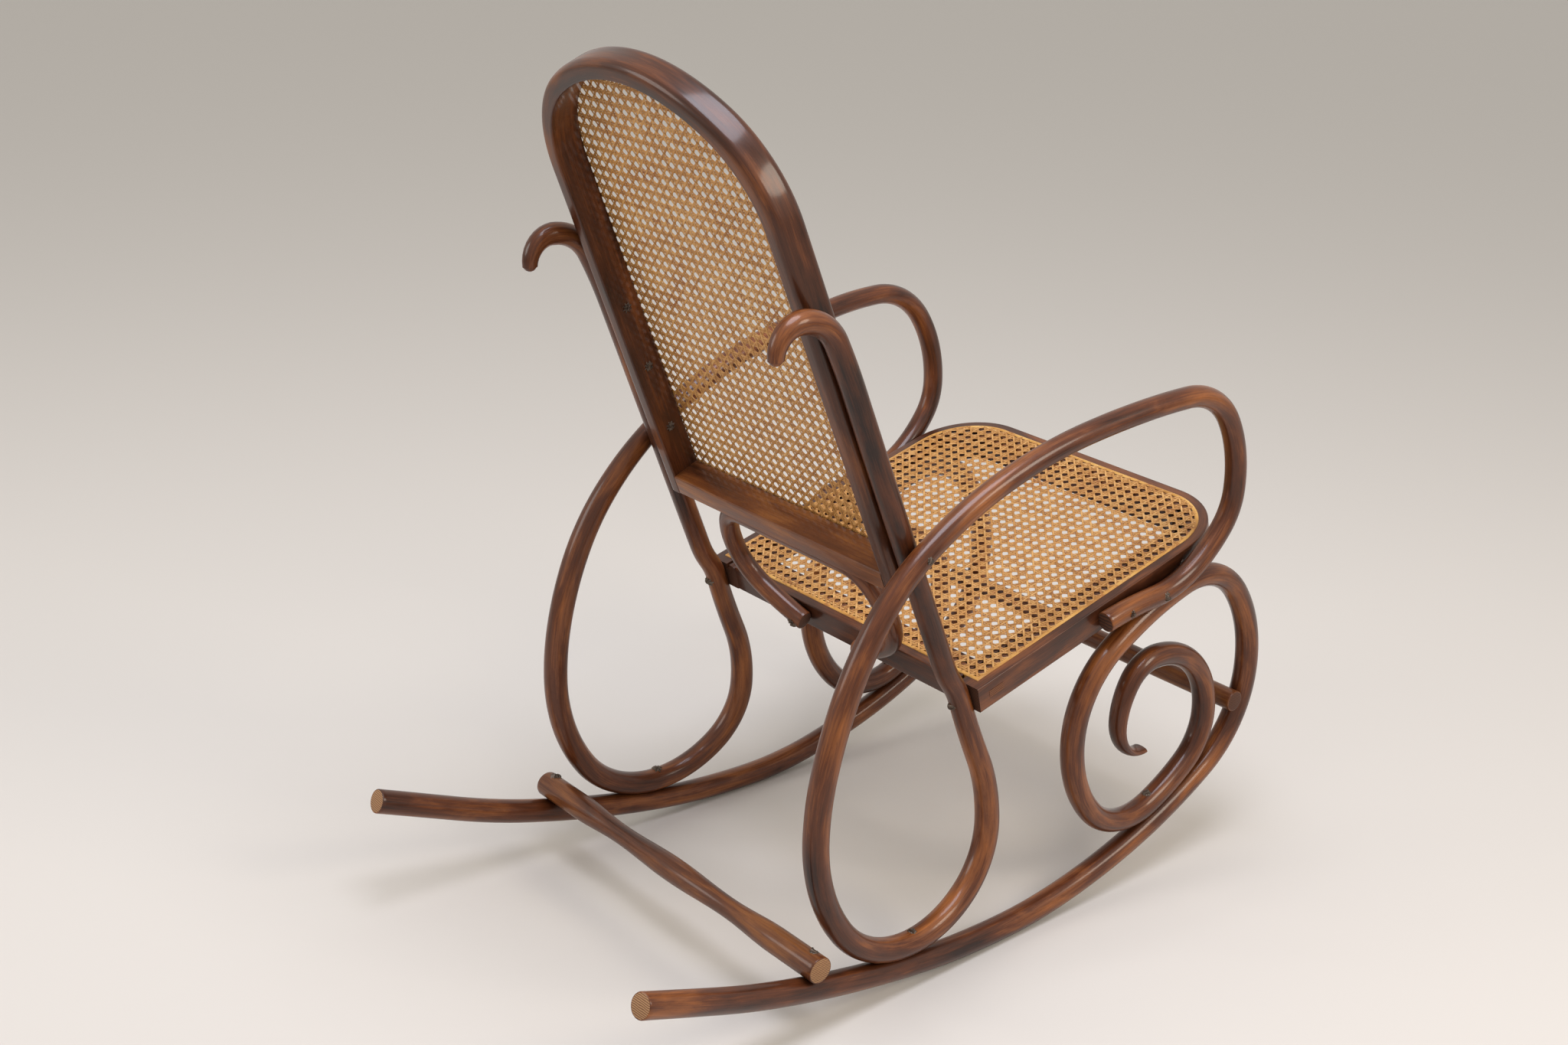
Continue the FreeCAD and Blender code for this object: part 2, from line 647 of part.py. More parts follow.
runner = bored(runner, loop_screws, foot_screws, top_screws, rear_screws, front_screws)
side_bar = bored(side_bar, back_screws, seat_screws, crossing_screws, arm_end_screws, loop_screws)
hoop = bored_both(hoop, back_screws)
bottom_rail = bored_both(bottom_rail, brace_top_screws)
seat_bow = bored_both(seat_bow, arm_end_screws, top_screws, seat_screws)
rear_rail = bored_both(rear_rail, seat_screws, brace_end_screws)
brace = bored_both(brace, brace_end_screws, brace_top_screws)
rear_stretcher = bored_both(rear_stretcher, rear_screws)
front_stretcher = bored_both(front_stretcher, front_screws)

save_pair("runner", runner)
save_pair("side_bar", side_bar)
save("seat_bow", seat_bow)
save("seat_rear_rail", rear_rail)
save("seat_cane", moved_to(seat_net, seat_matrix))
save("seat_spline", moved_to(seat_spline, seat_matrix))
save("back_hoop", hoop)
save("back_bottom_rail", bottom_rail)
save("back_cane", moved_to(back_net, back_matrix))
save("back_spline", moved_to(back_spline, back_matrix))
save("back_brace", brace)
save("rear_stretcher", rear_stretcher)
save("front_stretcher", front_stretcher)
save("back_rail_dowels", dowels)
save("back_screws", back_screws.sides())
save("seat_upright_screws", seat_screws.sides())
save("arm_crossing_screws", crossing_screws.sides())
save("arm_end_screws", arm_end_screws.sides())
save("loop_screws", loop_screws.sides())
save("scroll_foot_screws", foot_screws.sides())
save("scroll_top_screws", top_screws.sides())
save("rear_stretcher_screws", rear_screws.sides())
save("front_stretcher_screws", front_screws.sides())
save("brace_end_screws", brace_end_screws.sides())
save("brace_top_screws", brace_top_screws.sides())
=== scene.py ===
import math
import random

import bmesh
import bpy
from mathutils import Matrix, Vector, noise


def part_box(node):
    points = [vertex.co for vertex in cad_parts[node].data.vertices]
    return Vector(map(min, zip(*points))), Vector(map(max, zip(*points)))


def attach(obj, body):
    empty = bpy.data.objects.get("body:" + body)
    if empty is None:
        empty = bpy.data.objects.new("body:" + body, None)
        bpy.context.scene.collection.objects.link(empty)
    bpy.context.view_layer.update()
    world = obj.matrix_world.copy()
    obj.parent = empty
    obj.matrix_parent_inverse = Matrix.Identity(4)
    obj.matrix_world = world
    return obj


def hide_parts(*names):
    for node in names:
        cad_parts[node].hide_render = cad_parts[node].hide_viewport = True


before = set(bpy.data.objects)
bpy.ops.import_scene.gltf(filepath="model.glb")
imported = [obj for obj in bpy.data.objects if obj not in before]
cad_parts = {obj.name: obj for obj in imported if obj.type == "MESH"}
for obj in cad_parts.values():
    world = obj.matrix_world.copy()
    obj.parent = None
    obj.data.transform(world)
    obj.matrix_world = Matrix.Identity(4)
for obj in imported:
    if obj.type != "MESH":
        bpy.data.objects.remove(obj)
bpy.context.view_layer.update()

# The chair faces -Y, +Z is up. Station lists are in millimetres as (forward, across, up, heading),
# heading 0 is forward and 90 is up. Everything built from them is in metres.
mm = 0.001
left, right = 1, -1


def place(forward, across, up):
    return Vector((across, -forward, up)) * mm


# Bent centre lines: two arcs between each pair of stations

def arcPoints(start, direction, end, step):
    chord = end - start
    half = direction.angle(chord)
    if half < 1e-4:
        count = max(1, round(chord.length / step))
        return [start.lerp(end, k / count) for k in range(count)]
    radius = chord.length / (2 * math.sin(half))
    inward = (chord - direction * chord.dot(direction)).normalized()
    count = max(2, round(2 * half * radius / step))
    turns = [2 * half * k / count for k in range(count)]
    return [start + direction * radius * math.sin(t) + inward * radius * (1 - math.cos(t)) for t in turns]


def biarcPoints(p0, t0, p1, t1, step):
    span = p1 - p0
    bend = 2 * (1 - t0.dot(t1))
    along = span.dot(t0 + t1)
    if bend < 1e-6:
        reach = span.dot(span) / (4 * span.dot(t1))
    else:
        reach = (math.sqrt(along * along + bend * span.dot(span)) - along) / bend
    first, second = p0 + t0 * reach, p1 - t1 * reach
    middle = (first + second) / 2
    return arcPoints(p0, t0, middle, step), arcPoints(middle, (second - first).normalized(), p1, step)


def stationLine(stations, step=0.005):
    ends = [place(*s[:3]) for s in stations]
    tangents = []
    for i, s in enumerate(stations):
        low, high = max(i - 1, 0), min(i + 1, len(stations) - 1)
        run = sum((ends[k + 1] - ends[k]).length for k in range(low, high))
        sideways = (stations[high][1] - stations[low][1]) * mm / run
        a = math.radians(s[3])
        tangents.append(Vector((sideways, -math.cos(a), math.sin(a))).normalized())
    points, marks = [], []
    for i in range(len(stations) - 1):
        for half, part in enumerate(biarcPoints(ends[i], tangents[i], ends[i + 1], tangents[i + 1], step)):
            points += part
            marks += [i + (half + k / len(part)) / 2 for k in range(len(part))]
    return points + [ends[-1]], marks + [len(stations) - 1]


def lowestAt(points, forward):
    y = -forward * mm
    found = []
    for a, b in zip(points, points[1:]):
        if (a.y - y) * (b.y - y) <= 0 and a.y != b.y:
            spot = a.lerp(b, (y - a.y) / (b.y - a.y))
            found.append((spot.z, spot, math.degrees(math.atan2(b.z - a.z, a.y - b.y))))
    height, spot, heading = min(found, key=lambda f: f[0])
    return spot / mm, heading


# Meshes: each is a row of rings. The attribute "straight" holds each point's place in the wood as
# it was before bending, across and along the grain in metres, so the figure follows every bend.

def finishMesh(obj, materials):
    for material in materials:
        obj.data.materials.append(material)
    bpy.context.scene.collection.objects.link(obj)


def loft(name, rings, straights, materials, closed=False, capIndex=0, smoothAngle=40):
    count = len(rings[0])
    vertices = [v for ring in rings for v in ring]
    faces, indices = [], []
    total = len(rings)
    for i in range(total if closed else total - 1):
        a, b = i * count, (i + 1) % total * count
        for k in range(count):
            n = (k + 1) % count
            faces.append((a + k, a + n, b + n, b + k))
            indices.append(0)
    if not closed:
        faces += [tuple(range(count - 1, -1, -1)), tuple(range((total - 1) * count, total * count))]
        indices += [capIndex, capIndex]
    mesh = bpy.data.meshes.new(name)
    mesh.from_pydata(vertices, [], faces)
    mesh.polygons.foreach_set("material_index", indices)
    mesh.attributes.new("straight", "FLOAT_VECTOR", "POINT")
    mesh.attributes["straight"].data.foreach_set("vector", [c for row in straights for s in row for c in s])
    mesh.validate()
    shape = bmesh.new()
    shape.from_mesh(mesh)
    bmesh.ops.recalc_face_normals(shape, faces=shape.faces)
    for face in shape.faces:
        face.smooth = True
    for edge in shape.edges:
        if edge.is_manifold and edge.calc_face_angle(0) > math.radians(smoothAngle):
            edge.smooth = False
    shape.to_mesh(mesh)
    shape.free()
    obj = bpy.data.objects.new(name, mesh)
    finishMesh(obj, materials)
    return obj


def waysOf(points):
    last = len(points) - 1
    return [(points[min(i + 1, last)] - points[max(i - 1, 0)]).normalized() for i in range(last + 1)]


def pathLengths(points):
    lengths = [0.0]
    for a, b in zip(points, points[1:]):
        lengths.append(lengths[-1] + (b - a).length)
    return lengths


def sizeAt(sizes, mark):
    low = int(mark)
    high = min(low + 1, len(sizes) - 1)
    a, b = [s if isinstance(s, tuple) else (s, s) for s in (sizes[low], sizes[high])]
    return [(x + (y - x) * (mark - low)) * mm / 2 for x, y in zip(a, b)]


# A round end closes over these angles. A cut end has its edge broken by this much, in metres.
rodEnd = {"roundAt": (0.35, 0.7, 1.0, 1.25, 1.45), "brokenEdge": 0.0012, "edgeStep": 0.3}


def roundRod(name, points, halves, materials, ends=("cut", "cut"), sides=32, wobble=0.00012, seed=0.0):
    ways = waysOf(points)
    sideways = [Vector((1, 0, 0)) if abs(ways[-1].x) < 0.9 else Vector((0, 1, 0))]
    sideways[0] = (sideways[0] - ways[-1] * sideways[0].dot(ways[-1])).normalized()
    for way, after in zip(ways[-2::-1], ways[:0:-1]):
        turned = after.rotation_difference(way) @ sideways[0]
        sideways.insert(0, (turned - way * turned.dot(way)).normalized())
    lengths = pathLengths(points)
    stops = [(p, w, s, h, l, 1.0) for p, w, s, h, l in zip(points, ways, sideways, halves, lengths)]
    for which, side in ((0, -1), (-1, 1)):
        p, w, s, h, l = stops[which][:5]
        if ends[which] == "round":
            extra = [(math.sin(a), math.cos(a)) for a in rodEnd["roundAt"]]
            new = [(p + w * side * (x - 1) * h[0], w, s, h, l, y) for x, y in extra]
            stops[which] = (p - w * side * h[0], w, s, h, l, 1.0)
        else:
            cut, step = min(rodEnd["brokenEdge"], h[1] / 2), rodEnd["edgeStep"]
            new = [(p - w * side * cut * step, w, s, h, l, 1 - step * cut / h[1]),
                   (p, w, s, h, l, 1 - cut / h[1])]
            stops[which] = (p - w * side * cut, w, s, h, l, 1.0)
        stops = new[::-1] + stops if which == 0 else stops + new
    rings, straights = [], []
    for p, w, s, h, l, scale in stops:
        upward = w.cross(s)
        ring, straight = [], []
        for k in range(sides):
            a = 2 * math.pi * k / sides
            c, d = math.cos(a), math.sin(a)
            dent = 1 + wobble / h[0] * noise.noise(Vector((c, d + seed, l * 14)))
            ring.append(p + s * (c * h[0] * scale * dent) + upward * (d * h[1] * scale * dent))
            straight.append((c * h[0] * scale + seed, d * h[1] * scale + seed, l))
        rings.append(ring)
        straights.append(straight)
    return loft(name, rings, straights, materials, capIndex=len(materials) - 1)


def barAlong(name, points, normal, section, materials, closed=False, seed=0.0, capIndex=0):
    # A bar of one section, (out from the path, along the normal), mitred where the path has a corner
    count = len(points)
    lengths = pathLengths(points)
    rings, straights = [], []
    for i, p in enumerate(points):
        before = points[i - 1] if closed or i else None
        after = points[(i + 1) % count] if closed or i < count - 1 else None
        wayIn = (p - before).normalized() if before else (after - p).normalized()
        wayOut = (after - p).normalized() if after else wayIn
        way = (wayIn + wayOut).normalized()
        out = way.cross(normal).normalized() / max(way.dot(wayIn), 0.5)
        rings.append([p + out * u + normal * v for u, v in section])
        straights.append([(u + seed, v + seed, lengths[i]) for u, v in section])
    return loft(name, rings, straights, materials, closed=closed, capIndex=capIndex, smoothAngle=35)


def roundedBox(u0, u1, v0, v1, radii, steps=5):
    # Corners in turn: outer low, outer high, inner high, inner low
    corners = [(u1, v0, -90), (u1, v1, 0), (u0, v1, 90), (u0, v0, 180)]
    section = []
    for (u, v, start), r in zip(corners, radii):
        cu = u - r if u == u1 else u + r
        cv = v - r if v == v1 else v + r
        for k in range(steps + 1):
            a = math.radians(start + 90 * k / steps)
            section.append((cu + r * math.cos(a), cv + r * math.sin(a)))
    return section


def grooved(section, middle, width, depth, face):
    # Cut a groove into the face of a section whose points run from outer to inner there
    spot = max(k for k, (u, v) in enumerate(section) if abs(v - face) < 1e-6 and u > middle)
    notch = [(middle + width / 2, face), (middle + width / 2, face - depth),
             (middle - width / 2, face - depth), (middle - width / 2, face)]
    return section[:spot + 1] + notch + section[spot + 1:]


# Materials

def linear(hexColour):
    values = [int(hexColour[i:i + 2], 16) / 255 for i in (1, 3, 5)]
    return [v / 12.92 if v <= 0.04045 else ((v + 0.055) / 1.055) ** 2.4 for v in values] + [1.0]


def add(tree, kind, inputs=(), stops=(), **settings):
    # Inputs are sockets to link, values, or hex colours, and stops are those of a colour ramp
    node = tree.nodes.new("ShaderNode" + kind)
    for key, value in settings.items():
        setattr(node, key, value)
    for key, value in dict(inputs).items():
        socket = node.inputs[key]
        if isinstance(value, bpy.types.NodeSocket):
            tree.links.new(value, socket)
        else:
            socket.default_value = linear(value) if isinstance(value, str) else value
    for k, (position, colour) in enumerate(stops):
        elements = node.color_ramp.elements
        element = elements[k] if k < len(elements) else elements.new(position)
        element.position = position
        element.color = linear(colour) if isinstance(colour, str) else (colour, colour, colour, 1)
    return node


def newMaterial(name):
    material = bpy.data.materials.new(name)
    material.use_nodes = True
    tree = material.node_tree
    tree.nodes.clear()
    shader = add(tree, "BsdfPrincipled")
    add(tree, "OutputMaterial", {"Surface": shader.outputs[0]})
    return material, tree, shader


def woodCoordinates(tree, sizes):
    # Place in the unbent wood divided by the size of a feature in metres, across and along
    spot = add(tree, "Attribute", attribute_name="straight").outputs["Vector"]
    scale = [1 / sizes[0], 1 / sizes[0], 1 / sizes[1]]
    return add(tree, "VectorMath", {0: spot, 1: scale}, operation="MULTIPLY").outputs[0]


# Features of beech as (size across and along the grain in metres, detail, roughness, distortion)
beechGrain = {"patches": ((0.045, 0.2), 3, 0.5, 0.0), "mottle": ((0.014, 0.075), 4, 0.55, 0.5),
              "streaks": ((0.0018, 0.05), 4, 0.6, 0.4), "fleck": ((0.0007, 0.0042), 2, 0.5, 0.0),
              "pores": ((0.0004, 0.012), 2, 0.5, 0.0)}
polish = {"Specular IOR Level": 0.2, "Coat Weight": 0.45, "Coat Roughness": 0.14}
wornDuller = 0.22


# Steam-bent beech, stained reddish brown and polished with shellac. Colour: the stain pools dark in
# the pores and is rubbed to orange where hands and feet touch, and painted shade darkens it in corners
# and near other parts. Gloss: a thin polish, duller where worn. Relief: pores along the grain and short ray
# flecks of beech.
def stainedBeech(name, dark, middle, worn, gloss):
    material, tree, shader = newMaterial(name)
    grain = {}
    for feature, (sizes, detail, roughness, distortion) in beechGrain.items():
        grain[feature] = add(tree, "TexNoise", {"Vector": woodCoordinates(tree, sizes), "Scale": 1.0,
                                                "Detail": detail, "Roughness": roughness,
                                                "Distortion": distortion}).outputs[0]
    tone = add(tree, "Mix", {0: 0.45, 2: grain["patches"], 3: grain["mottle"]}).outputs[0]
    tone = add(tree, "Mix", {0: 0.2, 2: tone, 3: grain["streaks"]}).outputs[0]
    toned = add(tree, "ValToRGB", {0: tone}, [(0.36, dark), (0.5, middle), (0.66, worn)]).outputs[0]
    flecks = add(tree, "ValToRGB", {0: grain["fleck"]}, [(0.3, 0.7), (0.42, 1.0)]).outputs[0]
    toned = add(tree, "Mix", {0: 0.7, 6: toned, 7: flecks}, data_type="RGBA",
                blend_type="MULTIPLY").outputs[2]
    # Painted shade: the colour is darkened where other surfaces lie within 2 cm, in corners and between parts
    paintedShadeNearby = add(tree, "AmbientOcclusion", {"Distance": 0.02}, samples=4).outputs["AO"]
    corner = add(tree, "ValToRGB", {0: paintedShadeNearby}, [(0.25, 0.4), (0.75, 1.0)]).outputs[0]
    toned = add(tree, "Mix", {0: 0.75, 6: toned, 7: corner}, data_type="RGBA",
                blend_type="MULTIPLY").outputs[2]
    rough = add(tree, "MapRange", {"Value": grain["mottle"], "From Min": 0.3, "From Max": 0.7,
                                   "To Min": gloss, "To Max": gloss + wornDuller}).outputs[0]
    height = add(tree, "Mix", {0: 0.5, 2: grain["streaks"], 3: grain["pores"]}).outputs[0]
    bump = add(tree, "Bump", {"Height": height, "Strength": 0.12, "Distance": 0.0004}).outputs[0]
    tree.links.new(toned, shader.inputs["Base Color"])
    tree.links.new(rough, shader.inputs["Roughness"])
    tree.links.new(bump, shader.inputs["Normal"])
    for socket, value in polish.items():
        shader.inputs[socket].default_value = value
    return material


# Beech sawn across the grain. Colour: pale with darker growth rings where the stain has worn away.
# Gloss: dull, because end grain takes no polish. Relief: open pores.
def endGrain(name, pale, dark):
    material, tree, shader = newMaterial(name)
    spot = woodCoordinates(tree, (0.02, 0.02))
    rings = add(tree, "TexWave", {"Vector": spot, "Scale": 3.0, "Distortion": 3.0, "Detail": 3.0},
                wave_type="RINGS").outputs[1]
    pores = add(tree, "TexNoise", {"Vector": woodCoordinates(tree, (0.0006, 0.0006)), "Scale": 1.0,
                                   "Detail": 2, "Roughness": 0.55}).outputs[0]
    base = add(tree, "ValToRGB", {0: rings}, [(0.2, dark), (0.7, pale)]).outputs[0]
    spots = add(tree, "ValToRGB", {0: pores}, [(0.3, 0.55), (0.5, 1.0)]).outputs[0]
    toned = add(tree, "Mix", {0: 0.7, 6: base, 7: spots}, data_type="RGBA", blend_type="MULTIPLY").outputs[2]
    bump = add(tree, "Bump", {"Height": pores, "Strength": 0.3, "Distance": 0.0004}).outputs[0]
    tree.links.new(toned, shader.inputs["Base Color"])
    tree.links.new(bump, shader.inputs["Normal"])
    shader.inputs["Roughness"].default_value = 0.75
    return material


# Split rattan cane, varnished and yellowed. Colour: each strand has its own tone, with reddish-brown
# blotches of age and fine fibre lines. Gloss: the hard skin of rattan shines softly. Relief: fibres.
def rattanCane(name, dark, middle, pale, blotch, across):
    material, tree, shader = newMaterial(name)
    tone = add(tree, "TexNoise", {"Vector": woodCoordinates(tree, (across, 0.055)), "Scale": 1.0,
                                  "Detail": 2, "Roughness": 0.5}).outputs[0]
    fibres = add(tree, "TexNoise", {"Vector": woodCoordinates(tree, (0.0003, 0.02)), "Scale": 1.0,
                                    "Detail": 3, "Roughness": 0.6}).outputs[0]
    # Blotches of about 38 mm that run on from strand to strand
    spot = add(tree, "TexCoord").outputs["Object"]
    broad = add(tree, "VectorMath", {0: spot, 1: [26, 26, 26]}, operation="MULTIPLY").outputs[0]
    age = add(tree, "TexNoise", {"Vector": broad, "Scale": 1.0, "Detail": 5, "Roughness": 0.65}).outputs[0]
    spots = add(tree, "TexNoise", {"Vector": woodCoordinates(tree, (0.004, 0.009)), "Scale": 1.0,
                                   "Detail": 3, "Roughness": 0.6}).outputs[0]
    base = add(tree, "ValToRGB", {0: tone}, [(0.3, dark), (0.5, middle), (0.7, pale)]).outputs[0]
    lines = add(tree, "ValToRGB", {0: fibres}, [(0.3, 0.72), (0.55, 1.0)]).outputs[0]
    toned = add(tree, "Mix", {0: 0.7, 6: base, 7: lines}, data_type="RGBA", blend_type="MULTIPLY").outputs[2]
    both = add(tree, "Math", {0: age, 1: spots}, operation="MULTIPLY").outputs[0]
    share = add(tree, "ValToRGB", {0: both}, [(0.28, 0.0), (0.4, 0.75)]).outputs[0]
    toned = add(tree, "Mix", {0: share, 6: toned, 7: blotch}, data_type="RGBA").outputs[2]
    bump = add(tree, "Bump", {"Height": fibres, "Strength": 0.35, "Distance": 0.0002}).outputs[0]
    rough = add(tree, "MapRange", {"Value": age, "To Min": 0.32, "To Max": 0.6}).outputs[0]
    tree.links.new(toned, shader.inputs["Base Color"])
    tree.links.new(bump, shader.inputs["Normal"])
    tree.links.new(rough, shader.inputs["Roughness"])
    shader.inputs["Specular IOR Level"].default_value = 0.45
    return material


# Old steel wood screws. Colour: grey-brown with rust in patches. Gloss: dull, bright where a
# screwdriver has slipped. Relief: pitted by rust, about 1 mm from pit to pit.
def agedSteel(name):
    material, tree, shader = newMaterial(name)
    spot = add(tree, "TexCoord").outputs["Object"]
    fine = add(tree, "VectorMath", {0: spot, 1: [900, 900, 900]}, operation="MULTIPLY").outputs[0]
    rust = add(tree, "TexNoise", {"Vector": fine, "Scale": 1.0, "Detail": 4, "Roughness": 0.6}).outputs[0]
    colour = add(tree, "ValToRGB", {0: rust},
                 [(0.35, "#4f443b"), (0.55, "#6e6258"), (0.7, "#4a2c1c")]).outputs[0]
    rough = add(tree, "MapRange", {"Value": rust, "To Min": 0.3, "To Max": 0.65}).outputs[0]
    bump = add(tree, "Bump", {"Height": rust, "Strength": 0.3, "Distance": 0.0002}).outputs[0]
    tree.links.new(colour, shader.inputs["Base Color"])
    tree.links.new(rough, shader.inputs["Roughness"])
    tree.links.new(bump, shader.inputs["Normal"])
    shader.inputs["Metallic"].default_value = 0.85
    return material


rodWood = stainedBeech("polished_stained_bent_beech", "#241008", "#572c14", "#985a2a", 0.28)
frameWood = stainedBeech("polished_stained_planed_beech", "#1e0d06", "#482411", "#804821", 0.3)
railWood = stainedBeech("worn_stained_beech", "#3c1e0e", "#6c3c1c", "#a06530", 0.36)
turnedWood = stainedBeech("worn_stained_turned_beech", "#2b150a", "#5a3017", "#8f5829", 0.34)
tenonEnd = endGrain("stained_beech_tenon_end", "#7d4c2c", "#4a2a17")
cutWood = endGrain("worn_beech_end_grain", "#a98058", "#6b4529")
darkEnd = endGrain("stained_beech_end_grain", "#5c341c", "#321a0e")
caneSkin = rattanCane("varnished_rattan_cane", "#a06d35", "#bd8848", "#d4a567", "#85491f", 0.012)
splineSkin = rattanCane("varnished_rattan_spline", "#a06c2b", "#c79245", "#dcb065", "#8f4e22", 0.02)
screwSteel = agedSteel("dull_rusted_steel")
print("materials made")


def fit(obj, slotName, *nodes):
    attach(obj, "root")
    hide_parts(*nodes)


def halvesOf(marks, sizes):
    return [sizeAt(sizes, mark) for mark in marks]


def mirroredPoints(points, side):
    return [Vector((p.x * side, p.y, p.z)) for p in points]


# Seat and back planes

tilt, lean = math.radians(14.5), math.radians(23)
seatAlong = Vector((0, -math.cos(tilt), math.sin(tilt)))
seatNormal = Vector((0, math.sin(tilt), math.cos(tilt)))
backUp = Vector((0, math.sin(lean), math.cos(lean)))
backNormal = Vector((0, -math.cos(lean), math.sin(lean)))
sideAxis = Vector((1, 0, 0))
seat = {"forward": -9, "up": 322, "half": 221, "depth": 420, "corner": 85, "rail": 42, "height": 30,
        "splineInset": 13, "caneCentre": 203}
back = {"forward": -98, "up": 437, "halfLow": 189, "halfHigh": 181, "leg": 415, "height": 562,
        "depth": 35, "face": 20, "rail": 24, "splineInset": 10,
        "caneCentre": 290}
frameBed = 0.2


def onSeat(across, along, above):
    spot = sideAxis * across + seatAlong * along + seatNormal * above
    return place(seat["forward"], 0, seat["up"]) + spot * mm


def onBack(across, along, before):
    spot = sideAxis * across + backUp * along + backNormal * before
    return place(back["forward"], 0, back["up"]) + spot * mm


def legHalf(along):
    return back["halfLow"] - along * (back["halfLow"] - back["halfHigh"]) / back["leg"]


def flatArc(start, way, end, step):
    points = arcPoints(Vector(start).to_3d(), Vector(way).to_3d(), Vector(end).to_3d(), step)
    return [(p.x, p.y) for p in points]


def seatBowPath(inset, rear):
    # From the rear of the left side round the front to the rear of the right side
    half, front, r = seat["half"] - inset, seat["depth"] - inset, seat["corner"] - inset
    sideSteps = 24
    side = [(half, rear + (front - r - rear) * k / sideSteps) for k in range(sideSteps)]
    corner = flatArc((half, front - r), (0, 1), (half - r, front), 5)
    path = side + corner + [((half - r) * (1 - k / 8), front) for k in range(8)]
    return path + [(0, front)] + [(-x, y) for x, y in path[::-1]]


def archPath(inset, step=8):
    # From the foot of the left leg over the crown to the foot of the right leg
    slope = math.atan((back["halfLow"] - back["halfHigh"]) / back["leg"])
    shift = inset / math.cos(slope)
    foot = Vector((back["halfLow"] - shift, 0, 0))
    legWay = Vector((-math.sin(slope), math.cos(slope), 0))
    inward = Vector((math.cos(slope), math.sin(slope), 0)) * inset
    shoulder = Vector((back["halfHigh"], back["leg"], 0)) - inward
    crown = Vector((0, back["height"] - inset, 0))
    path = [foot.lerp(shoulder, k / 40) for k in range(40)]
    for half in biarcPoints(shoulder, legWay, crown, Vector((-1, 0, 0)), step):
        path += half
    path = [(p.x, p.y) for p in path]
    return path + [(crown.x, crown.y)] + [(-x, y) for x, y in path[::-1]]


# Runners with their front scrolls

runnerFacts = {
    "stations": [(-453.7, 242, 134, -21.8), (-262, 229.9, 63, -16), (58, 220, 13, 0),
                 (250, 220, 47, 18), (445.3, 220, 222, 90)],
    "scroll": [(148, 220, 215, 270), (None, 220, None, None), (374, 220, 182, 450), (274, 220, 281, 540),
               (222, 220, 213, 630), (268, 220, 168, 730)],
    "top": (300, -29.6 - 13.5), "foot": 300, "rod": 27, "tail": (20, 7), "gap": 0.5}
runnerLine, runnerMarks = stationLine(runnerFacts["stations"])
footMark, footHeading = lowestAt(runnerLine, runnerFacts["foot"])
footSlope = math.radians(footHeading)
footLift = runnerFacts["rod"] + runnerFacts["gap"]
scrollStations = list(runnerFacts["scroll"])
scrollStations[1] = (-footMark.y - math.sin(footSlope) * footLift, 220,
                     footMark.z + math.cos(footSlope) * footLift, 360 + footHeading)
topMark = onSeat(220, (runnerFacts["top"][0] - seat["forward"]) / math.cos(tilt), runnerFacts["top"][1]) / mm
runnerStations = runnerFacts["stations"] + [(-topMark.y, 220, topMark.z, 194.5)] + scrollStations
runnerPoints, runnerMarks = stationLine(runnerStations)
rodSize, tailSize = runnerFacts["rod"], runnerFacts["tail"]
runnerSizes = [rodSize] * 10 + [((rodSize + tailSize[0]) / 2, (rodSize + tailSize[1]) / 2), tailSize]
for side, name in ((left, "left"), (right, "right")):
    piece = roundRod(name + "Runner", mirroredPoints(runnerPoints, side), halvesOf(runnerMarks, runnerSizes),
                     [rodWood, cutWood], seed=0.3 * side)
    for vertex in piece.data.vertices:
        vertex.co.z = max(vertex.co.z, 0.0)
    fit(piece, "rod", name + "_runner")
print("runners done", len(runnerPoints))

# Side bars: curl, upright, rear loop and arm

barFacts = {"slim": 24, "rod": 27, "bed": 0.4, "gap": 0.5, "curlOut": 8, "loopBottom": -86,
            "lowUp": 345, "crossUp": 486.5, "highUp": 660, "armForward": 168, "armSunk": 3, "seatAir": 1,
            "sizes": [15, 24, 24, 24, 24, 27, 27, 27, 27] + [24] * 6}


def uprightAt(up):
    along = (up - back["up"]) / math.cos(lean)
    middle = onBack(0, along, back["depth"] / 2) / mm
    return -middle.y, legHalf(along) + barFacts["slim"] / 2 - barFacts["bed"], middle.z


loopMark = lowestAt(runnerLine, barFacts["loopBottom"])[0]
uprightLow = uprightAt(barFacts["lowUp"])
seatMiddle = -seat["height"] / 2
uprightSeat = onSeat(uprightLow[1] + barFacts["seatAir"], barFacts["bed"] - barFacts["slim"] / 2,
                     seatMiddle) / mm
armAlong = (barFacts["armForward"] - seat["forward"]) / math.cos(tilt)
armEnd = onSeat(seat["half"] + barFacts["slim"] / 2 - barFacts["armSunk"], armAlong, seatMiddle) / mm
crossMark = uprightAt(barFacts["crossUp"])
crossAcross = crossMark[1] + barFacts["slim"] + barFacts["gap"]
curlAcross = back["halfLow"] + barFacts["curlOut"]
barStations = [
    (-274, curlAcross, 711, 104), (-247, curlAcross, 747, 0), uprightAt(barFacts["highUp"]) + (-67,),
    uprightLow + (-67,),
    (-uprightSeat.y, uprightSeat.x, uprightSeat.z, -70), (31, 210, 152, -90),
    (barFacts["loopBottom"], loopMark.x, loopMark.z + barFacts["rod"] - barFacts["bed"], -180),
    (-229, 226, 226, -270), (-199, 227, 368, -292.5), (crossMark[0], crossAcross, crossMark[2], -323.5),
    (112, 234, 581, -351), (255, 243, 595, -360), (357, 240, 468, -450), (310, 236.5, 391, -502),
    (-armEnd.y, armEnd.x, armEnd.z, -525.5)]
barPoints, barMarks = stationLine(barStations)
for side, name in ((left, "left"), (right, "right")):
    piece = roundRod(name + "SideBar", mirroredPoints(barPoints, side), halvesOf(barMarks, barFacts["sizes"]),
                     [rodWood, cutWood if side == left else darkEnd], ends=("round", "cut"),
                     seed=1.7 + 0.4 * side)
    fit(piece, "rod", name + "_side_bar")
print("side bars done", len(barPoints))

# Oval brace below the back

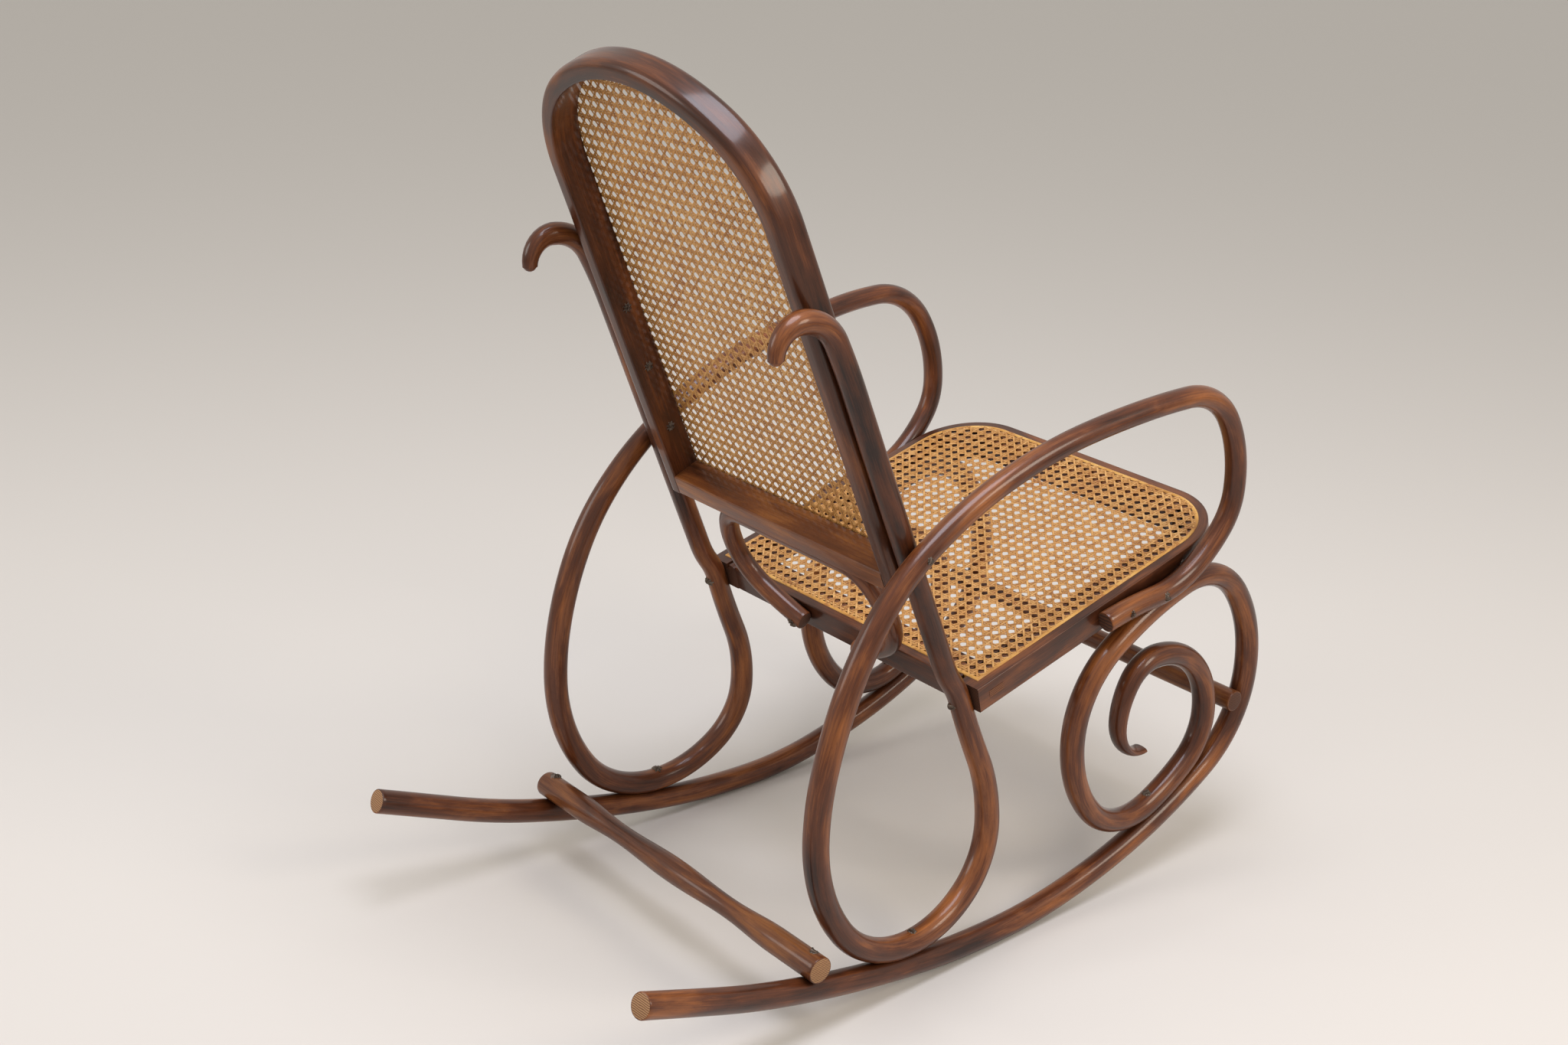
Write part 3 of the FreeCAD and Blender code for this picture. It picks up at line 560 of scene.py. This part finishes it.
braceFacts = {"rod": 22, "half": 128, "down": 62, "endHalf": 45, "slope": 20, "topHalf": 85, "bed": 0.4}
braceSunk = braceFacts["bed"] - braceFacts["rod"] / 2
braceTop = onBack(0, braceSunk, back["depth"] / 2)
braceEnd = onSeat(0, braceSunk, seatMiddle)
braceUp = (braceTop - braceEnd).normalized()
braceFall = (braceEnd - braceTop).length / mm
braceStations = [(-braceFacts["endHalf"], -braceFall, 180 - braceFacts["slope"]),
                 (-braceFacts["half"], -braceFacts["down"], 90), (-braceFacts["topHalf"], 0, 0),
                 (braceFacts["topHalf"], 0, 0), (braceFacts["half"], -braceFacts["down"], -90),
                 (braceFacts["endHalf"], -braceFall, braceFacts["slope"] - 180)]
braceLine = stationLine([(x, 0, z, heading) for x, z, heading in braceStations], 0.004)[0]
braceLine = [braceTop + sideAxis * p.y + braceUp * p.z for p in braceLine]
braceHalf = [braceFacts["rod"] / 2 * mm] * 2
piece = roundRod("backBrace", braceLine, [braceHalf] * len(braceLine), [rodWood, darkEnd], seed=3.1)
fit(piece, "rod", "back_brace")

# Stretchers

rearFacts = {"forward": -238, "end": 29, "neck": 22, "bulge": 28, "neckAt": 95, "shoulderAt": 175,
             "out": 14, "bed": 0.4}
rearMark, rearHeading = lowestAt(runnerLine, rearFacts["forward"])
rearSlope = math.radians(rearHeading)
rearLift = rodSize / 2 + rearFacts["end"] / 2 - rearFacts["bed"]
rearCentre = Vector((0, rearMark.y + math.sin(rearSlope) * rearLift,
                     rearMark.z + math.cos(rearSlope) * rearLift))
rearReach = rearMark.x + rearFacts["out"]


def turnedSize(x):
    x = abs(x)
    if x <= rearFacts["neckAt"]:
        share = (1 + math.cos(math.pi * x / rearFacts["neckAt"])) / 2
        return rearFacts["neck"] + (rearFacts["bulge"] - rearFacts["neck"]) * share
    share = min((x - rearFacts["neckAt"]) / (rearFacts["shoulderAt"] - rearFacts["neckAt"]), 1)
    return rearFacts["neck"] + (rearFacts["end"] - rearFacts["neck"]) * (1 - math.cos(math.pi * share)) / 2


def turnedLine(centre, reach, step=5):
    count = round(2 * reach / step)
    return [Vector((-reach + 2 * reach * k / count, centre.y, centre.z)) * mm for k in range(count + 1)]


rearLine = turnedLine(rearCentre, rearReach)
rearHalves = [[turnedSize(p.x / mm) * mm / 2] * 2 for p in rearLine]
piece = roundRod("rearStretcher", rearLine, rearHalves, [turnedWood, cutWood], seed=4.4)
fit(piece, "turned", "rear_stretcher")

frontFacts = {"dowel": 25, "reach": 234}
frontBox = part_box("front_stretcher")
frontCentre = Vector((0, (frontBox[0][1] + frontBox[1][1]) / 2, (frontBox[0][2] + frontBox[1][2]) / 2)) / mm
frontLine = turnedLine(frontCentre, frontFacts["reach"])
frontHalf = [frontFacts["dowel"] * mm / 2] * 2
piece = roundRod("frontStretcher", frontLine, [frontHalf] * len(frontLine), [turnedWood, darkEnd], seed=5.2)
fit(piece, "turned", "front_stretcher")
print("brace and stretchers done")

# Seat frame: bent bow of three sides, and a rear rail whose tenons run through the bow's sides

groove = {"width": 4.6, "depth": 6.0}
railHalf = seat["rail"] / 2
grooveOut = railHalf - seat["splineInset"]
seatSection = roundedBox(-railHalf, railHalf, -seat["height"], 0, [2.5, 7.5, 1.5, 2.0])
seatSection = grooved(seatSection, grooveOut, groove["width"], groove["depth"], 0)
seatSection = [(u * mm, v * mm) for u, v in seatSection]
bowPath = [onSeat(x, y, 0) for x, y in seatBowPath(railHalf, 0)]
seatBow = barAlong("seatBow", bowPath, seatNormal, seatSection, [frameWood, darkEnd], seed=6.0, capIndex=1)
fit(seatBow, "frame", "seat_bow")

rearReachAcross = seat["half"] - seat["rail"] + frameBed
rearPath = [onSeat(-rearReachAcross + 2 * rearReachAcross * k / 60, railHalf, 0) for k in range(61)]
rearRail = barAlong("seatRearRail", rearPath, seatNormal, seatSection, [frameWood, darkEnd], seed=7.3)
fit(rearRail, "frame", "seat_rear_rail")
tenonFacts = {"rear": 6, "front": 27, "low": -19.5, "high": -10.5, "edge": 1, "inner": 178, "proud": 0.25}
tenonSection = roundedBox(tenonFacts["rear"] - railHalf, tenonFacts["front"] - railHalf, tenonFacts["low"],
                          tenonFacts["high"], [tenonFacts["edge"]] * 4, 2)
tenonRun = seat["half"] + tenonFacts["proud"] - tenonFacts["inner"]
for side, name in ((left, "left"), (right, "right")):
    tenonPath = [onSeat(side * (tenonFacts["inner"] + tenonRun * k / 4), railHalf, 0) for k in range(5)]
    turnedSection = [(-side * u * mm, -side * v * mm) for u, v in tenonSection]
    tenon = barAlong(name + "SeatTenon", tenonPath, seatNormal * -side, turnedSection, [frameWood, tenonEnd],
                     capIndex=1, seed=7.9)
    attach(tenon, "root")

# Back frame: bent hoop and a straight bottom rail dowelled between its legs

hoopHalf, bottomHalf = back["face"] / 2, back["rail"] / 2
backSection = roundedBox(-hoopHalf, hoopHalf, 0, back["depth"], [9, 9, 2, 2], 8)
backSection = grooved(backSection, 0.0, groove["width"], groove["depth"], back["depth"])
backSection = [(u * mm, v * mm) for u, v in backSection]
hoopPath = [onBack(x, y, 0) for x, y in archPath(hoopHalf)]
hoop = barAlong("backHoop", hoopPath, backNormal, backSection, [frameWood, darkEnd], seed=8.1, capIndex=1)
fit(hoop, "frame", "back_hoop")

bottomGroove = bottomHalf - back["splineInset"]
bottomSection = roundedBox(-bottomHalf, bottomHalf, 0, back["depth"], [2, 2, 2, 2])
bottomSection = grooved(bottomSection, bottomGroove, groove["width"], groove["depth"], back["depth"])
bottomSection = [(u * mm, v * mm) for u, v in bottomSection]
bottomReach = legHalf(bottomHalf) - back["face"] + frameBed
bottomPath = [onBack(-bottomReach + 2 * bottomReach * k / 50, bottomHalf, 0) for k in range(51)]
bottomRail = barAlong("backBottomRail", bottomPath, backNormal, bottomSection, [railWood, darkEnd], seed=9.2)
fit(bottomRail, "frame", "back_bottom_rail")
print("frames done")

# Splines, each wedged into its groove over the turned-down cane

splineSection = [(u * mm, v * mm) for u, v in
                 [(2.3, -6), (2.3, 0.3), (1.9, 0.85), (1.1, 1.15), (0, 1.25), (-1.1, 1.15), (-1.9, 0.85),
                  (-2.3, 0.3), (-2.3, -6)]]
loop = seatBowPath(seat["splineInset"], seat["splineInset"])
rearEdge = loop[-1][0]
loop += [(rearEdge * (1 - 2 * k / 40), seat["splineInset"]) for k in range(1, 40)]
seatSpline = barAlong("seatSpline", [onSeat(x, y, 0) for x, y in loop], seatNormal, splineSection,
                      [splineSkin], closed=True, seed=10.0)
fit(seatSpline, "spline", "seat_spline")

arch = archPath(back["splineInset"])
arch = [(x, y) for x, y in arch if y > back["splineInset"]]
foot = legHalf(back["splineInset"]) - back["splineInset"]
arch = [(foot, back["splineInset"])] + arch + [(-foot, back["splineInset"])]
arch += [(-foot * (1 - 2 * k / 36), back["splineInset"]) for k in range(1, 36)]
backSpline = barAlong("backSpline", [onBack(x, y, back["depth"]) for x, y in arch], backNormal, splineSection,
                      [splineSkin], closed=True, seed=11.0)
fit(backSpline, "spline", "back_spline")

# Woven cane. Pairs of strands cross squarely between the holes, and single diagonals of both
# directions cross halfway between neighbouring holes.

caneFacts = {"across": 12.6, "along": 11.9, "pair": 1.3, "width": 2.45, "thick": 0.5, "weave": 0.34,
             "diagonal": 0.5, "lift": 0.85, "reach": 3.1, "warpEase": 0.8, "weftEase": 0.35, "shortest": 3}


def insidePolygon(x, y, outline):
    inside = False
    for (x0, y0), (x1, y1) in zip(outline, outline[1:] + outline[:1]):
        if (y0 > y) != (y1 > y) and x < (x1 - x0) * (y - y0) / (y1 - y0) + x0:
            inside = not inside
    return inside


def strandStops(kind, half, pitch, low, high):
    # Distances along a strand where its height changes, with the height there
    stops = []
    near, far = caneFacts["pair"], caneFacts["reach"]
    warp, weft = caneFacts["warpEase"], caneFacts["weftEase"]
    for k in range(math.floor(low / pitch) - 1, math.ceil(high / pitch) + 1):
        crossing = (k + 0.5) * pitch
        if kind == "warp":
            stops += [(crossing - far, half * warp), (crossing, half), (crossing + far, half * warp),
                      (crossing + pitch / 2, 0)]
        else:
            stops += [(crossing - far, -weft), (crossing - near, -1), (crossing + near, 1),
                      (crossing + far, weft)]
    weave = caneFacts["weave"]
    return [(spot, height * weave) for spot, height in stops if low < spot < high]


def clipped(line, outline):
    # Pieces of a flat line that lie inside an outline, ended on the outline itself
    runs, run = [], []
    for k, stop in enumerate(line):
        inside = insidePolygon(stop[0], stop[1], outline)
        if k and inside != before:
            a, b = (line[k - 1], stop) if before else (stop, line[k - 1])
            for step in range(12):
                middle = tuple((m + n) / 2 for m, n in zip(a, b))
                a, b = (middle, b) if insidePolygon(middle[0], middle[1], outline) else (a, middle)
            if before:
                runs.append(run + [a])
                run = []
            else:
                run = [a]
        if inside:
            run.append(stop)
        before = inside
    return runs + [run] if run else runs


def weaveCane(name, outline, onPlane, centreAlong, seed):
    px, py = caneFacts["across"], caneFacts["along"]
    xs, ys = [p[0] for p in outline], [p[1] for p in outline]
    box = (min(xs), max(xs), min(ys) - centreAlong, max(ys) - centreAlong)
    strands = []
    for i in range(math.floor(box[0] / px) - 1, math.ceil(box[1] / px) + 1):
        for half in (-1, 1):
            x = (i + 0.5) * px + half * caneFacts["pair"]
            stops = strandStops("warp", -half, py, box[2], box[3])
            strands.append([(x, s + centreAlong, h) for s, h in stops])
    for j in range(math.floor(box[2] / py) - 1, math.ceil(box[3] / py) + 1):
        for half in (-1, 1):
            y = (j + 0.5) * py + half * caneFacts["pair"] + centreAlong
            stops = strandStops("weft", half, px, box[0], box[1])
            strands.append([(s, y, h) for s, h in stops])
    spread = math.ceil((box[1] - box[0]) / px + (box[3] - box[2]) / py)
    for direction in (1, -1):
        for k in range(-2 * spread, 2 * spread):
            line = []
            for quarter in range(-4 * spread, 4 * spread):
                u = quarter / 4
                v = direction * (k + 0.5 - u)
                # The diagonal passes a warp pair where u is a half, and a weft pair where v is a half
                height = direction * caneFacts["diagonal"] * -math.cos(2 * math.pi * u)
                if box[0] - px < u * px < box[1] + px and box[2] - py < v * py < box[3] + py:
                    line.append((u * px, v * py + centreAlong, height))
            if len(line) > 1:
                strands.append(line)
    half, thick = caneFacts["width"] / 2, caneFacts["thick"] / 2
    section = [(-half, 0), (-half * 0.55, thick), (half * 0.55, thick), (half, 0), (half * 0.6, -thick * 0.8),
               (-half * 0.6, -thick * 0.8)]
    vertices, faces, straights = [], [], []
    chance = random.Random(seed)
    for strand in strands:
        for run in clipped(strand, outline):
            if len(run) < 2 or (Vector(run[-1]) - Vector(run[0])).length < caneFacts["shortest"]:
                continue
            flat = Vector((run[-1][0] - run[0][0], run[-1][1] - run[0][1])).normalized()
            tone, along = chance.uniform(0, 60), chance.uniform(0, 5)
            drift, width = chance.uniform(-0.12, 0.12), chance.uniform(0.93, 1.05)
            first = len(vertices)
            for n, (x, y, h) in enumerate(run):
                if n:
                    along += math.dist(run[n - 1][:2], (x, y)) * mm
                for u, v in section:
                    u = u * width + drift
                    vertices.append(onPlane(x - flat.y * u, y + flat.x * u, caneFacts["lift"] + h + v))
                    straights.append((u * mm + tone * 0.01, tone + v * mm, along))
            count = len(section)
            for n in range(len(run) - 1):
                a, b = first + n * count, first + (n + 1) * count
                faces += [(a + k, a + (k + 1) % count, b + (k + 1) % count, b + k) for k in range(count)]
            faces += [tuple(range(first + count - 1, first - 1, -1)),
                      tuple(range(first + (len(run) - 1) * count, first + len(run) * count))]
    mesh = bpy.data.meshes.new(name)
    mesh.from_pydata(vertices, [], faces)
    mesh.attributes.new("straight", "FLOAT_VECTOR", "POINT")
    mesh.attributes["straight"].data.foreach_set("vector", [c for s in straights for c in s])
    shape = bmesh.new()
    shape.from_mesh(mesh)
    bmesh.ops.recalc_face_normals(shape, faces=shape.faces)
    for face in shape.faces:
        face.smooth = len(face.verts) == 4
    shape.to_mesh(mesh)
    shape.free()
    obj = bpy.data.objects.new(name, mesh)
    finishMesh(obj, [caneSkin])
    print(name, len(strands), "strands", len(faces), "faces")
    return obj


seatField = seatBowPath(seat["splineInset"], seat["splineInset"])
seatCane = weaveCane("seatCane", seatField, onSeat, seat["caneCentre"], 11)
fit(seatCane, "cane", "seat_cane")
backField = [(x, y) for x, y in archPath(back["splineInset"]) if y > back["splineInset"]]
backField = [(foot, back["splineInset"])] + backField + [(-foot, back["splineInset"])]
backCane = weaveCane("backCane", backField, lambda x, y, z: onBack(x, y, back["depth"] + z),
                     back["caneCentre"], 12)
fit(backCane, "cane", "back_cane")

# Slotted countersunk screws, each along the axis of the one in the frame

screwFacts = {"head": 8.0, "shank": 4.0, "slot": 1.1, "slotDepth": 0.9, "headHeight": 2.6, "faceDown": 0.25,
              "rimDown": 0.4, "faceScale": 0.97, "pointScale": 0.3, "endBand": 0.0015}


def screwAxes(node):
    # Head centre, direction and length of each screw in a CAD node, in the order of its mesh
    shape = bmesh.new()
    shape.from_mesh(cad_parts[node].data)
    loose = set(shape.verts)
    axes = []
    for first in shape.verts:
        if first not in loose:
            continue
        loose.remove(first)
        group, queue = [], [first]
        while queue:
            vertex = queue.pop()
            group.append(vertex.co.copy())
            for edge in vertex.link_edges:
                other = edge.other_vert(vertex)
                if other in loose:
                    loose.remove(other)
                    queue.append(other)
        far = max(((a - b).length, i, j) for i, a in enumerate(group) for j, b in enumerate(group))
        way = (group[far[2]] - group[far[1]]).normalized()
        for step in range(6):
            places = [p.dot(way) for p in group]
            lowSpots = [p for p, d in zip(group, places) if d < min(places) + screwFacts["endBand"]]
            highSpots = [p for p, d in zip(group, places) if d > max(places) - screwFacts["endBand"]]
            low = sum(lowSpots, Vector()) / len(lowSpots)
            high = sum(highSpots, Vector()) / len(highSpots)
            way = (high - low).normalized()
        lowSpread = max((p - low).cross(way).length for p in group if (p - low).dot(way) < 0.001)
        highSpread = max((p - high).cross(way).length for p in group if (p - high).dot(way) > -0.001)
        head, into = (low, way) if lowSpread > highSpread else (high, -way)
        axes.append((head, into, (high - low).length))
    shape.free()
    return axes


def slottedScrews(name, node, chance):
    shape = bmesh.new()
    sides = 24
    r, slot = screwFacts["head"] / 2 * mm, screwFacts["slot"] / 2 * mm
    shank, depth = screwFacts["shank"] / 2 * mm, screwFacts["slotDepth"] * mm
    faceScale = screwFacts["faceScale"]
    for head, way, length in screwAxes(node):
        turn = chance.uniform(0, math.pi)
        across = way.orthogonal().normalized()
        across = Matrix.Rotation(turn, 3, way) @ across
        other = way.cross(across)
        long = length / mm
        rows = [(screwFacts["faceDown"], faceScale, r), (screwFacts["rimDown"], 1.0, r),
                (screwFacts["headHeight"], 1.0, shank), (long * 0.9, 1.0, shank),
                (long, screwFacts["pointScale"], shank)]
        rings = []
        for down, scale, radius in rows:
            ring = []
            for k in range(sides):
                a = 2 * math.pi * k / sides
                out = across * math.cos(a) + other * math.sin(a)
                ring.append(shape.verts.new(head + way * down * mm + out * radius * scale))
            rings.append(ring)
        for a, b in zip(rings, rings[1:]):
            for k in range(sides):
                shape.faces.new((a[k], a[(k + 1) % sides], b[(k + 1) % sides], b[k]))
        shape.faces.new(rings[-1])
        # The two halves of the head's face and the sunk floor of the slot between them
        reach = math.sqrt(max((r * faceScale) ** 2 - slot ** 2, 0))
        top = head + way * screwFacts["faceDown"] * mm
        for sign in (1, -1):
            half = [v for v in rings[0] if (v.co - top).dot(other) * sign > slot]
            half.sort(key=lambda v: (v.co - top).dot(across))
            a = shape.verts.new(top + across * -reach + other * slot * sign)
            b = shape.verts.new(top + across * reach + other * slot * sign)
            c = shape.verts.new(a.co + way * depth)
            d = shape.verts.new(b.co + way * depth)
            shape.faces.new([a] + half + [b])
            shape.faces.new((a, b, d, c))
            if sign == 1:
                firstPair = (c, d)
            else:
                shape.faces.new((firstPair[0], firstPair[1], d, c))
    bmesh.ops.recalc_face_normals(shape, faces=shape.faces)
    for face in shape.faces:
        face.smooth = len(face.verts) == 4 and face.calc_area() > 4e-7
    mesh = bpy.data.meshes.new(name)
    shape.to_mesh(mesh)
    shape.free()
    obj = bpy.data.objects.new(name, mesh)
    finishMesh(obj, [screwSteel])
    return obj


chance = random.Random(5)
for node in sorted(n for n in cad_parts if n.endswith("_screws")):
    words = node.split("_")
    name = words[0] + "".join(w.capitalize() for w in words[1:])
    fit(slottedScrews(name, node, chance), "screw", node)
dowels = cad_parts["back_rail_dowels"]
dowels.data.materials.clear()
dowels.data.materials.append(cutWood)
print("screws done")

# Studio: pale floor, soft sky-like light from above and a broad key light from the camera's left.
# Each panel is (place, what it faces, width and height, watts, colour), in metres.

studio = {"floorSize": 60, "floorColour": "#cfcac4", "worldColour": "#f2efea", "worldStrength": 0.75,
          "panels": {"skyPanel": ((-0.5, 0.3, 2.8), (0, 0, 0.3), (1.5, 1.5), 50, "#eef1ff"),
                     "keyPanel": ((-2.4, -0.9, 2.0), (0, 0, 0.4), (1.1, 1.1), 30, "#fff3e2"),
                     "fillPanel": ((1.4, 2.6, 1.7), (0, 0, 0.4), (1.5, 1.5), 24, "#fbf7f2")}}
bpy.ops.mesh.primitive_plane_add(size=studio["floorSize"], location=(0, 0, 0))
floor = bpy.context.object
floor.name = "floor"
floorMaterial, floorShader = newMaterial("pale_matt_floor")[::2]
floorShader.inputs["Base Color"].default_value = linear(studio["floorColour"])
floorShader.inputs["Roughness"].default_value = 0.9
floor.data.materials.append(floorMaterial)

world = bpy.data.worlds.new("studio")
bpy.context.scene.world = world
world.use_nodes = True
world.node_tree.nodes["Background"].inputs[0].default_value = linear(studio["worldColour"])
world.node_tree.nodes["Background"].inputs[1].default_value = studio["worldStrength"]

for name, (location, target, size, power, colour) in studio["panels"].items():
    light = bpy.data.lights.new(name, "AREA")
    light.shape = "ELLIPSE"
    light.size, light.size_y = size
    light.energy = power
    light.color = linear(colour)[:3]
    lightObject = bpy.data.objects.new(name, light)
    lightObject.location = location
    lightObject.rotation_euler = (Vector(target) - Vector(location)).to_track_quat("-Z", "Y").to_euler()
    bpy.context.scene.collection.objects.link(lightObject)

# The camera was fitted to the photograph, in metres and radians
cameraFacts = {"lens": 48.306, "sensor": 36, "location": (-1.5705, 1.4394, 1.2712),
               "rotation": (1.19512, -0.0306, -2.26865)}
camera = bpy.data.cameras.new("photoCamera")
camera.lens = cameraFacts["lens"]
camera.sensor_width = cameraFacts["sensor"]
cameraObject = bpy.data.objects.new("photoCamera", camera)
cameraObject.location = cameraFacts["location"]
cameraObject.rotation_euler = cameraFacts["rotation"]
bpy.context.scene.collection.objects.link(cameraObject)
bpy.context.scene.camera = cameraObject
bpy.context.scene.view_settings.view_transform = "Standard"
print("studio done")
